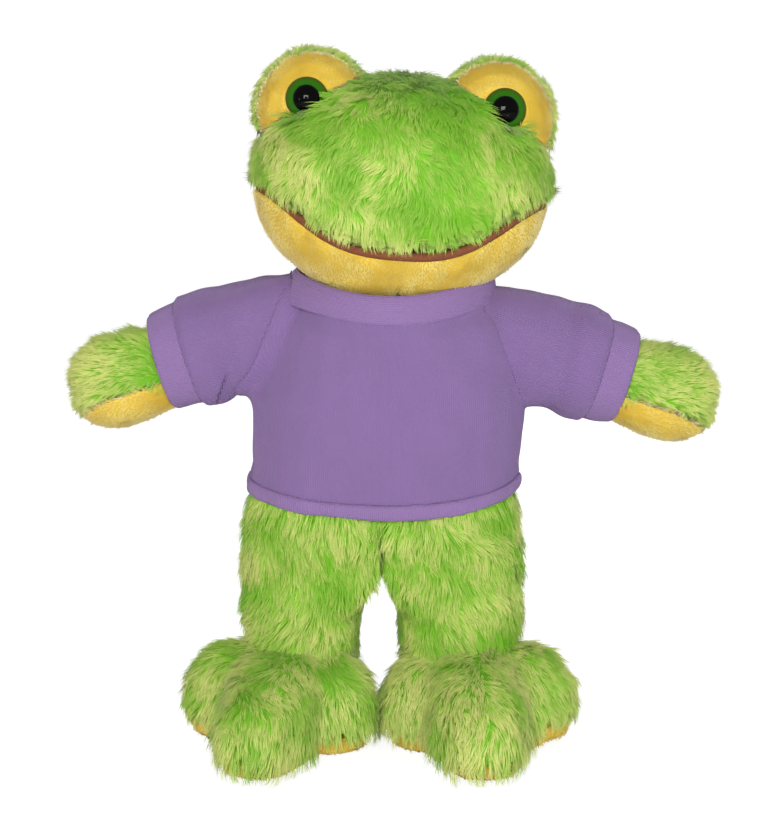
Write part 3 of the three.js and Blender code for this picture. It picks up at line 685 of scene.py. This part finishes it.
EYE_RISE = 0.0052  # of the dome over its rim
SHANK = [(0.0026, 0.0013), (0.0026, 0.012), (0.0018, 0.0125)]
for name in SIDES:
    low, high = box(f"{name}_eye")
    radius, middle = (high[0] - low[0]) / 2, (low + high) / 2
    centre = np.array([middle[0], low[1] + EYE_RISE, middle[2]])
    profile = dome(radius, EYE_RISE, 0.0012) + SHANK
    lathe(f"{name}_eye_dome", centre, profile, EYE, f"{name}_eye")
    low, high = box(f"{name}_pupil")
    radius, middle = (high[0] - low[0]) / 2, (low + high) / 2
    centre = np.array([middle[0], high[1] - 0.0006, middle[2]])
    profile = dome(1.07 * radius, centre[1] - low[1], 0.0005)
    lathe(f"{name}_pupil_dome", centre, profile, PUPIL, f"{name}_pupil")
    washer = frame["nodes"][f"{name}_eye_washer"]
    washer.data.materials.clear()
    washer.data.materials.append(WASHER)


# Legs and feet: one skin from the hem to the ankle

MID = float(np.mean([np.mean(box(f"{n}_leg"), 0)[0] for n in SIDES]))
TOE_OUT = {"left": 4, "right": 13}  # degrees by which each middle toe points outward

# Height, inner edge and outer edge from the middle, and reach to the front and back
LEG_RINGS = np.array([
    [0.158, 0.0004, 0.0740, 0.0500], [0.140, 0.0004, 0.0765, 0.0515], [0.124, 0.0004, 0.0785, 0.0485],
    [0.110, 0.0004, 0.0798, 0.0428], [0.104, 0.0022, 0.0799, 0.0415], [0.097, 0.0062, 0.0800, 0.0398],
    [0.084, 0.0116, 0.0800, 0.0370], [0.072, 0.0142, 0.0795, 0.0350], [0.058, 0.0160, 0.0785, 0.0340],
    [0.048, 0.0165, 0.0770, 0.0330], [0.030, 0.0180, 0.0740, 0.0300]])


def leg_skin(name, side):
    """A thigh that is half of the toy's seat above the crotch, and one leg below it."""
    heights = np.linspace(LEG_RINGS[0, 0], LEG_RINGS[-1, 0], 56)
    inner, outer, deep = (np.interp(-heights, -LEG_RINGS[:, 0], LEG_RINGS[:, k]) for k in (1, 2, 3))
    inner = inner * (0.76 if side > 0 else 1)
    for values in (inner, outer, deep):
        values[2:-2] = np.convolve(values, np.ones(5) / 5, "valid")
    points = []
    for z, low_x, high_x, reach in zip(heights, inner, outer, deep):
        round_off = float(smoothstep(-z, -0.110, -0.076))
        centre = (1 - round_off) * 0.012 + round_off * (low_x + high_x) / 2
        for t in TURNS:
            c, s = math.cos(t), math.sin(t)
            power = 2 / (2.5 if c > 0 else 2.5 + 6 * (1 - round_off))
            x = centre + (high_x - centre if c > 0 else centre - low_x) * math.copysign(abs(c) ** power, c)
            y = reach * math.copysign(abs(s) ** (2 / 2.3 if c > 0 else power), s)
            points.append((MID + side * x, NECK[1] + y, z))
    faces = quads(len(heights), AROUND)
    faces = [(a, d, c, b) if side > 0 else (b, c, d, a) for a, b, c, d in faces]
    return mesh_object(name, points, faces, GREEN_SKIN)


trunk_skin = smooth_copy("trunk_whole", ["torso"], GREEN_SKIN, 4.0, 8, 2.0)
seat = cut_plane(trunk_skin, (0, 0, 0.152), (0, 0, -1), "torso_skin")
dress(seat, "trunk", "torso")


def seen_on_leg(p, n):
    """Leaves out what the shirt and the foot hide, and where the two halves of the seat meet."""
    z = p[:, 2]
    at_middle = (np.abs(n[:, 0]) >= 0.9) & (np.abs(p[:, 0] - MID) <= 0.003) & (z >= 0.13)
    return (z < 0.15) & (z > 0.034) & ~at_middle


def toe_angle(away, name):
    """Degrees from the middle toe to the outer one, round the ankle."""
    return np.degrees(np.arctan2(SIDES[name] * away[:, 0], -away[:, 1])) - TOE_OUT[name]


def shape_toes(points, ankle, name):
    """The outer toe stands a little off the floor, and the inner one reaches further forward."""
    away = points - ankle
    toe = toe_angle(away, name)
    reach = smoothstep(np.hypot(away[:, 0], away[:, 1]), 0.03, 0.055)
    outer = smoothstep(toe, 25, 45) * (1 - smoothstep(toe, 90, 120)) * reach
    inner = smoothstep(-toe, 22, 42) * (1 - smoothstep(-toe, 80, 110)) * reach
    return points + np.stack([0 * toe, -0.007 * inner, 0.0045 * outer], 1)


for name, side in SIDES.items():
    leg = leg_skin(f"{name}_leg_skin", side)
    body, hip = f"{name}_leg_body", JOINT[f"{name}_hip"]
    ankle = hip + np.array([side * 0.006, 0.006, 0])
    ends = ("trunk", body, tuple(hip + [0, 0, 0.030]), tuple(hip - [0, 0, 0.024]))
    at, out = FUR.roots(leg, 91 + side, seen_on_leg)
    lean = 9.0 * (at[:, 0] - MID - side * 0.043) + side * 0.22
    inside = smoothstep(-side * out[:, 0], 0.3, 0.9) * smoothstep(-at[:, 2], -0.14, -0.12)
    FUR.grow(f"{name}_leg_fur", at, out, lean[:, None] * [1, 0, 0] + DOWN, ends, 101 + side, 1 - 0.4 * inside)
    dress(leg, ends, f"{name}_leg")

    foot = smooth_copy(f"{name}_foot_skin", [f"{name}_foot"], GREEN_SKIN, 2.4, 8, 2.8)
    move(foot.data, shape_toes(corners(foot.data), ankle, name) - [side * 0.0016, 0, 0])
    dress(foot, body, f"{name}_foot")
    at, out = FUR.roots(foot, 111 + side, lambda p, n: n[:, 2] > -0.85)
    away = (at - ankle) * [1, 1, 0]
    toe = toe_angle(away, name)
    low_part = 1 - smoothstep(at[:, 2], 0.014, 0.034)
    side_toe = smoothstep(toe, 26, 40) * low_part
    tip = low_part * (1 - smoothstep(np.abs(toe), 16, 30))
    outside = smoothstep(side * out[:, 0], 0.3, 0.9)
    seam = np.exp(-(toe / 9) ** 2) * (side > 0) * (away[:, 1] < -0.03)
    flow = unit(away)
    flow[:, 2] = -0.7 - 1.6 * low_part
    flow[:, 0] += 0.35 * seam * np.sign(toe) * smoothstep(at[:, 2], 0.016, 0.03)
    longer = 0.92 - 0.12 * side_toe + 0.4 * tip - 0.12 * outside
    # The feet's fur is tinted paler, the left foot more than the right: painted light on the tops of the
    # feet.
    FUR.grow(f"{name}_foot_fur", at, out, flow, body, 121 + side, longer, 0.22 + 0.1 * side)

    sole = smooth_copy(f"{name}_sole_skin", [f"{name}_sole"], YELLOW_SKIN, 1.6, 9, 0.0)
    co, normal = corners(sole.data), vertex_normals(sole.data)
    co = co - 0.0052 * normal * [1, 1, 0] - 0.0010 * np.minimum(normal, 0) * [0, 0, 1]
    move(sole.data, shape_toes(co, ankle, name))
    dress(sole, body, f"{name}_sole")
    at, out = VELOUR.roots(sole, 131 + side, lambda p, n: (np.abs(n[:, 2]) < 0.75) & (p[:, 2] > 0.003))
    VELOUR.grow(f"{name}_sole_pile", at, out, DOWN, body, 141 + side)
    at, out = SOLE_PILE.roots(sole, 191 + side, lambda p, n: n[:, 2] < -0.7)
    SOLE_PILE.grow(f"{name}_tread_pile", at, out, FORWARD, body, 201 + side)


# Arms

DROOP = math.radians(17)
SHOULDER = {name: JOINT[f"{name}_shoulder"] for name in SIDES}
ALONG = {n: np.array([s * math.cos(DROOP), 0, -math.sin(DROOP)]) for n, s in SIDES.items()}
ARM_FROM = 0.048  # where the arm's skin begins inside the sleeve, along the arm from the shoulder
PALM_BACK = 0.012  # how far back the palm reaches
for name, side in SIDES.items():
    body, start, along = f"{name}_arm_body", SHOULDER[name], ALONG[name]
    upward = np.array([side * math.sin(DROOP), 0, math.cos(DROOP)])
    whole = smooth_copy(f"{name}_arm_whole", [f"{name}_arm"], GREEN_SKIN, 2.2, 7, 4.8)
    hand = cut_plane(whole, start + ARM_FROM * along, -along, f"{name}_arm_skin")
    off = corners(hand.data) - start
    s = off @ along
    axis = s[:, None] * along
    slim = 1 - 0.42 * (1 - smoothstep(s, 0.036, 0.056))
    at_edge = np.exp(-((off @ upward + 0.009) / 0.006) ** 2) * smoothstep(s, 0.066, 0.076)
    at_edge *= off[:, 1] < PALM_BACK
    push = 0.0034 * at_edge[:, None] * vertex_normals(hand.data)
    move(hand.data, start + axis + (off - axis) * slim[:, None] + push)
    dress(hand, body, f"{name}_arm")

    def furry(p, n):
        off = p - start
        palm_side = (off @ upward < -0.0108) & (off[:, 1] < PALM_BACK) & (off @ along < 0.118)
        return (off @ along > 0.060) & ~palm_side

    at, out = HAND_FUR.roots(hand, 151 + side, furry)
    away = (at - start - 0.070 * along + 0.006 * upward) * [1, 0.6, 1]
    pale = smoothstep(np.linalg.norm(away, axis=1), 0.018, 0.046)
    off = at - start
    at_palm = 1 - smoothstep(off @ upward, -0.009, -0.001)
    at_cuff = 1 - smoothstep(off @ along, 0.064, 0.074)
    flow = unit(away) + 0.3 * along - 0.9 * at_palm[:, None] * upward
    # Near the palm's edge the fur is tinted paler: painted light over the shade that the fur casts there.
    HAND_FUR.grow(f"{name}_arm_fur", at, out, flow, body, 161 + side,
                  (1 + 0.1 * at_cuff) * (1 - 0.3 * at_palm), 0.55 * pale - 0.12 + 0.12 * at_palm)

    palm = smooth_copy(f"{name}_palm_skin", [f"{name}_palm"], YELLOW_SKIN, 1.8, 6, 0.6)
    off = corners(palm.data) - start
    s = off @ along
    axis = s[:, None] * along
    inner = np.clip((s.mean() - s) / (s.mean() - s.min()), 0, 1)[:, None]
    raised = start + 0.0006 * upward - [0, 0.0008, 0]
    move(palm.data, raised + axis - 0.0125 * inner * along + (off - axis) * (1 - 0.07 * inner))
    dress(palm, body, f"{name}_palm")
    at, out = VELOUR.roots(palm, 171 + side)
    edge = smoothstep(out @ upward, 0.1, 0.8)
    flow = along + edge[:, None] * (0.3 * upward - [0, 0.5, 0])
    VELOUR.grow(f"{name}_palm_pile", at, out, flow, body, 181 + side, 1.25 + 0.4 * edge)


# Shirt: one smooth surface over the trunk and the upper arms, folded, and then cut along its seams

HEM, HEM_TOP = 0.1402, 0.1492
CUFF, CUFF_END = 0.0546, 0.0714  # along the arm from the shoulder
JERSEY_THICK, HEM_THICK, CUFF_THICK = 0.0013, 0.0024, 0.0026
BAND_BASE, BAND_DIP, BAND_HEIGHT = 0.266, 0.014, 0.014  # its seam at the back, its dip in front, its height
BAND_MIDDLE = NECK[:2] - 0.001
BAND_HALF = (0.052, 0.0473)  # half widths of the band's inner side, across and from front to back
UNDER_BAND = (0.0589, 0.0545)  # of the ring to which the cloth runs under the band
BAND_SEAM = (0.0597, 0.0551)  # of the ring inside which the cloth is hidden
RAGLAN_TOP, RAGLAN_ARMPIT = np.array([0.044, 0.300]), np.array([0.080, 0.207])
RAGLAN_WAY = RAGLAN_ARMPIT - RAGLAN_TOP
TRUNK_X = NECK[0] - 0.0075


def sway(z):
    """The trunk's middle at a height: it stands a little aslant."""
    return TRUNK_X + 0.0094 * smoothstep(z, 0.108, 0.3035)


def band_height(back):
    """Height of the neckband's seam, where back runs from -1 at the front to 1 behind."""
    return BAND_BASE - BAND_DIP * ((1 - back) / 2) ** 3


def band_base(points):
    """Height of the neckband's seam in each direction from the neck."""
    x, y = (points[:, :2] - BAND_MIDDLE).T
    return band_height(y / np.maximum(np.hypot(x, y), 1e-6))


def raglan_gap(points, side):
    """Distance outside a raglan seam, in metres: negative on the body and positive on the sleeve."""
    way = RAGLAN_WAY / np.linalg.norm(RAGLAN_WAY)
    across, up = side * (points[:, 0] - TRUNK_X) - RAGLAN_TOP[0], points[:, 2] - RAGLAN_TOP[1]
    return way[0] * up - way[1] * across


# How far the shirt stands off each solid that it is drawn over, in millimetres
SWELL = {"torso": 2.2, "shirt_front": 0.7, "shirt_back": 0.7, "shirt_hem": 0.7, "left_sleeve": 0.7,
         "right_sleeve": 0.7, "left_arm": 2.6, "right_arm": 2.6, "left_cuff": 0.7, "right_cuff": 0.7}
shirt = smooth_copy("shirt", list(SWELL), JERSEY, 1.6, 30, 0.2, SWELL)
shape = opened(shirt.data)
bisect(shape, (0, 0, HEM), (0, 0, -1), True)
bisect(shape, (0, 0, HEM_TOP), (0, 0, 1))
bisect(shape, (0, NECK[1], 0), (0, 1, 0))
for name, side in SIDES.items():
    bisect(shape, SHOULDER[name] + CUFF_END * ALONG[name], ALONG[name], True)
    bisect(shape, SHOULDER[name] + CUFF * ALONG[name], ALONG[name])
    seam_top = (TRUNK_X + side * RAGLAN_TOP[0], 0, RAGLAN_TOP[1])
    bisect(shape, seam_top, (side * -RAGLAN_WAY[1], 0, RAGLAN_WAY[0]))
shape.to_mesh(shirt.data)
shape.free()


def shirt_folds(co, normal):
    """Outward movement of the cloth at each point, in metres."""
    facing = smoothstep(-normal[:, 1], -0.2, 0.5)
    move_by = 0.0006 * waves(co * [1, 1, 0.45], 0.055, 301) + 0.00035 * waves(co * [1, 1, 0.6], 0.024, 302)
    for name, side in SIDES.items():
        off = co - SHOULDER[name]
        s = off @ ALONG[name]
        outside = raglan_gap(co, side) > -0.001
        puff = 0.0026 * smoothstep(s, 0.026, 0.045) * (1 - smoothstep(s, 0.0515, 0.0552))
        crease = 0.0016 * np.exp(-((s - 0.030 + 0.1 * off[:, 2]) / 0.006) ** 2) * facing
        cuff = np.where(s > CUFF, 0.0004 - 0.0016 * smoothstep(s, CUFF_END - 0.002, CUFF_END), 0)
        move_by += np.where(outside, puff - crease + cuff, 0)
        move_by -= 0.0006 * np.exp(-(raglan_gap(co, side) / 0.0016) ** 2) * (s < CUFF)
    z = co[:, 2]
    middle, half = (HEM + HEM_TOP) / 2, (HEM_TOP - HEM) / 2
    roll = np.sqrt(np.clip(1 - ((z - middle) / half) ** 2, 0, 1))
    move_by += np.where(z < HEM_TOP, 0.0011 * roll - 0.0002, 0)
    move_by -= 0.0008 * np.exp(-((z - HEM_TOP) / 0.0009) ** 2)
    return move_by


def face_middles(mesh, points):
    starts = read(mesh.polygons, "loop_start", kind=np.int32)
    around = read(mesh.loops, "vertex_index", kind=np.int32)
    totals = np.diff(np.append(starts, len(around)))
    return np.add.reduceat(points[around], starts) / totals[:, None]


co, normal = corners(shirt.data), vertex_normals(shirt.data)
flat_middles = face_middles(shirt.data, co)
base = band_base(co)
flat = co[:, :2] - BAND_MIDDLE
from_middle = unit(flat)
wanted = 1 / np.hypot(from_middle[:, 0] / UNDER_BAND[0], from_middle[:, 1] / UNDER_BAND[1])
short = wanted - np.hypot(flat[:, 0], flat[:, 1])
short = np.where(short < 0, short * smoothstep(short, -0.010, -0.004), short)
rising = smoothstep(co[:, 2], base - 0.014, base - 0.001)
co = co + normal * shirt_folds(co, normal)[:, None]
for name, side in SIDES.items():
    s = (co - SHOULDER[name]) @ ALONG[name]
    outer = smoothstep(raglan_gap(co, side), -0.006, 0.02) * smoothstep(s, -0.03, 0.03)
    co[:, 2] += 0.0034 * outer * (0.55 + 0.45 * smoothstep(normal[:, 2], -0.2, 0.8))
bulge = np.exp(-((co[:, 2] - 0.209) / 0.009) ** 2) * smoothstep(TRUNK_X - co[:, 0], 0.062, 0.078)
co[:, 0] -= 0.005 * bulge * (raglan_gap(co, -1) <= 0.012)
to_side = np.abs((co[:, 0] - sway(co[:, 2])) / 0.078) ** 2.2
co[:, 2] += 0.0085 * to_side * (1 - smoothstep(co[:, 2], 0.139, 0.19))
co[:, :2] += from_middle * (short * rising)[:, None]
move(shirt.data, co)


def knit_place(co, about, along, radius):
    """Places for the knit, in millimetres: round an axis, and along it."""
    along = unit(np.array(along, float))
    across = unit(np.cross(along, [0, 1, 0]))
    other = np.cross(along, across)
    off = co - about
    turn = np.arctan2(off @ other, off @ across)
    return np.stack([turn * radius, off @ along, 0 * turn], 1) / MM


def shirt_piece(name, keep, material, thick, place):
    """The faces of the shirt's surface that a test keeps, as one piece of cloth."""
    reach = np.where(on_body(flat_middles), 1.0, 0.975)
    kept = keep(flat_middles) & below_band(face_middles(shirt.data, corners(shirt.data)), reach)
    part = opened(shirt.data)
    part.faces.ensure_lookup_table()
    gone = [part.faces[i] for i in np.flatnonzero(~kept)]
    bmesh.ops.delete(part, geom=gone, context="FACES")
    piece = coat(from_bmesh(name, part), material)
    put(piece.data, "knit", place(corners(piece.data)), "FLOAT_VECTOR")
    solid = piece.modifiers.new("thickness", "SOLIDIFY")
    solid.thickness = thick
    solid.offset = -1
    apply_modifiers(piece)
    return piece


def cloth(piece):
    """Measures the area of a piece of cloth; nothing uses it."""
    area = float(read(piece.data.polygons, "area").sum()) / 2


def on_sleeve(co, name):
    return raglan_gap(co, SIDES[name]) > 0


def below_band(co, reach):
    """Where the band doesn't hide the cloth. The sleeves reach further into it than the panels."""
    x, y = (co[:, :2] - BAND_MIDDLE).T
    from_neck = np.hypot(x / BAND_SEAM[0], y / BAND_SEAM[1])
    over = co[:, 2] - band_base(co)
    return (over < 0.003) | (from_neck > 1) | ((from_neck > reach) & (over < 0.010))


def on_body(co):
    return ~on_sleeve(co, "left") & ~on_sleeve(co, "right") & (co[:, 2] > HEM_TOP)


def round_trunk(co):
    return knit_place(co, np.array([NECK[0] - 0.004, NECK[1], 0]), (0, 0, 1), 0.068)


for half, way in (("front", -1), ("back", 1)):
    panel = shirt_piece(f"shirt_{half}_panel", lambda c: on_body(c) & (way * (c[:, 1] - NECK[1]) > 0),
                        JERSEY, JERSEY_THICK, round_trunk)
    dress(panel, "trunk", f"shirt_{half}")
    cloth(panel)

hem = shirt_piece("shirt_hem_band", lambda c: c[:, 2] < HEM_TOP, RIBBING, HEM_THICK, round_trunk)
dress(hem, "trunk", "shirt_hem")
cloth(hem)

for name, side in SIDES.items():
    body, start, along = f"{name}_arm_body", SHOULDER[name], ALONG[name]

    def place(co):
        return knit_place(co, start, along, 0.030)

    def in_cuff(co):
        return (co - start) @ along > CUFF

    sleeve = shirt_piece(f"{name}_sleeve_cloth", lambda c: on_sleeve(c, name) & ~in_cuff(c),
                         JERSEY, JERSEY_THICK, place)
    ends = ("trunk", body, tuple(start + 0.020 * along), tuple(start + 0.050 * along))
    dress(sleeve, ends, f"{name}_sleeve")
    cloth(sleeve)
    cuff = shirt_piece(f"{name}_cuff_band", lambda c: on_sleeve(c, name) & in_cuff(c),
                       RIBBING, CUFF_THICK, place)
    dress(cuff, body, f"{name}_cuff")
    cloth(cuff)
bpy.data.objects.remove(shirt)

# The band's section: how far outside its inner side, and how high
BAND_SECTION = [(0.0050, -0.0024), (0.0076, -0.0022), (0.0083, -0.0006), (0.0082, 0.0040),
                (0.0080, 0.0095), (0.0078, 0.0122), (0.0070, 0.0137), (0.0062, 0.0140),
                (0.0054, 0.0134), (0.0050, 0.0120), (0.0050, 0.0050)]


def neckband(name, around=160):
    """The doubled band round the neck, its front dipping under the chin."""
    points, knit = [], []
    for i in range(around):
        t = 2 * math.pi * i / around
        c, s = math.cos(t), math.sin(t)
        lean = 0.0012 + 0.0019 * math.exp(-((t - math.radians(200)) / 0.7) ** 2)
        flare = 0.0070 * math.exp(-((t - math.radians(188)) / 0.55) ** 2)
        for reach, rise in BAND_SECTION:
            reach -= lean * max(0.0, rise / BAND_HEIGHT) ** 1.5
            reach += flare * min(1.0, max(0.0, 1 - rise / BAND_HEIGHT))
            points.append((BAND_MIDDLE[0] + (BAND_HALF[0] + reach) * c,
                           BAND_MIDDLE[1] + (BAND_HALF[1] + reach) * s, band_height(s) + rise))
            knit.append((rise / MM, t * 57, 0))
    faces = [(a, d, c, b) for a, b, c, d in quads(around, len(BAND_SECTION), closed=True)]
    band = mesh_object(name, points, faces, RIBBING)
    put(band.data, "knit", knit, "FLOAT_VECTOR")
    return band


band = neckband("neckband_ribbing")
dress(band, "trunk", "shirt_neckband")
cloth(band)


# Floor, light and camera

n = Nodes("pale floor")
diffuse = n.node("ShaderNodeBsdfDiffuse", {"Color": (0.86, 0.86, 0.86, 1)})
seen = n.node("ShaderNodeBsdfDiffuse", {"Color": (0.3, 0.3, 0.3, 1)})
glow = n.node("ShaderNodeEmission", {"Color": (1, 1, 1, 1), "Strength": 0.84})
both = n.node("ShaderNodeAddShader", {0: seen.outputs[0], 1: glow.outputs[0]})
to_camera = n.node("ShaderNodeLightPath").outputs["Is Camera Ray"]
paper = n.show(n.node("ShaderNodeMixShader", {0: to_camera, 1: diffuse.outputs[0], 2: both.outputs[0]}))
ground = [(-6, -6, 0), (6, -6, 0), (6, 6, 0), (-6, 6, 0)]
mesh_object("floor", ground, [(0, 1, 2, 3)], paper)

n = Nodes("studio", bpy.data.worlds, "ShaderNodeOutputWorld")
place = n.node("ShaderNodeTexCoord").outputs["Generated"]
up = n.node("ShaderNodeSeparateXYZ", {0: place}).outputs["Z"]
sky = n.node("ShaderNodeMapRange", {"Value": up, "To Min": 0.66, "To Max": 0.5}).outputs["Result"]
to_camera = n.node("ShaderNodeLightPath").outputs["Is Camera Ray"]
strength = n.node("ShaderNodeMapRange", {"Value": to_camera, "To Min": sky, "To Max": 1.0}).outputs["Result"]
scene = bpy.context.scene
scene.world = n.show(n.node("ShaderNodeBackground", {"Color": (1, 1, 1, 1), "Strength": strength}))


def aimed(name, data, place, aim):
    """A light or a camera at one place, turned to face another."""
    obj = new_object(name, data)
    obj.location = place
    obj.rotation_euler = (Vector(aim) - Vector(place)).to_track_quat("-Z", "Y").to_euler()
    return obj


def softbox(name, place, aim, size, watts, mirrored, colour=(1, 1, 1)):
    light = bpy.data.lights.new(name, "AREA")
    light.shape, light.color, light.energy = "RECTANGLE", colour, watts
    light.size, light.size_y = size
    aimed(name, light, place, aim).visible_glossy = mirrored


softbox("key", (-0.12, -1.25, 0.52), (0, 0, 0.25), (0.42, 0.32), 13, True)
softbox("fill", (0.8, -1.3, 0.15), (0, 0, 0.2), (0.8, 0.8), 9, False)
softbox("back", (0.4, 1.4, 0.7), (0, 0, 0.2), (0.8, 0.8), 8, False)
softbox("glint", (-0.75, -1.0, 0.30), (0, 0, 0.36), (0.1, 0.14), 0.9, True, (1.0, 0.6, 0.45))

camera = bpy.data.cameras.new("camera")
camera.lens = 74.2
camera.sensor_width = 36
scene.camera = aimed("camera", camera, (-0.00132, -0.97178, 0.336), (-0.00132, 0.01822, 0.1941))
scene.view_settings.view_transform = "Standard"
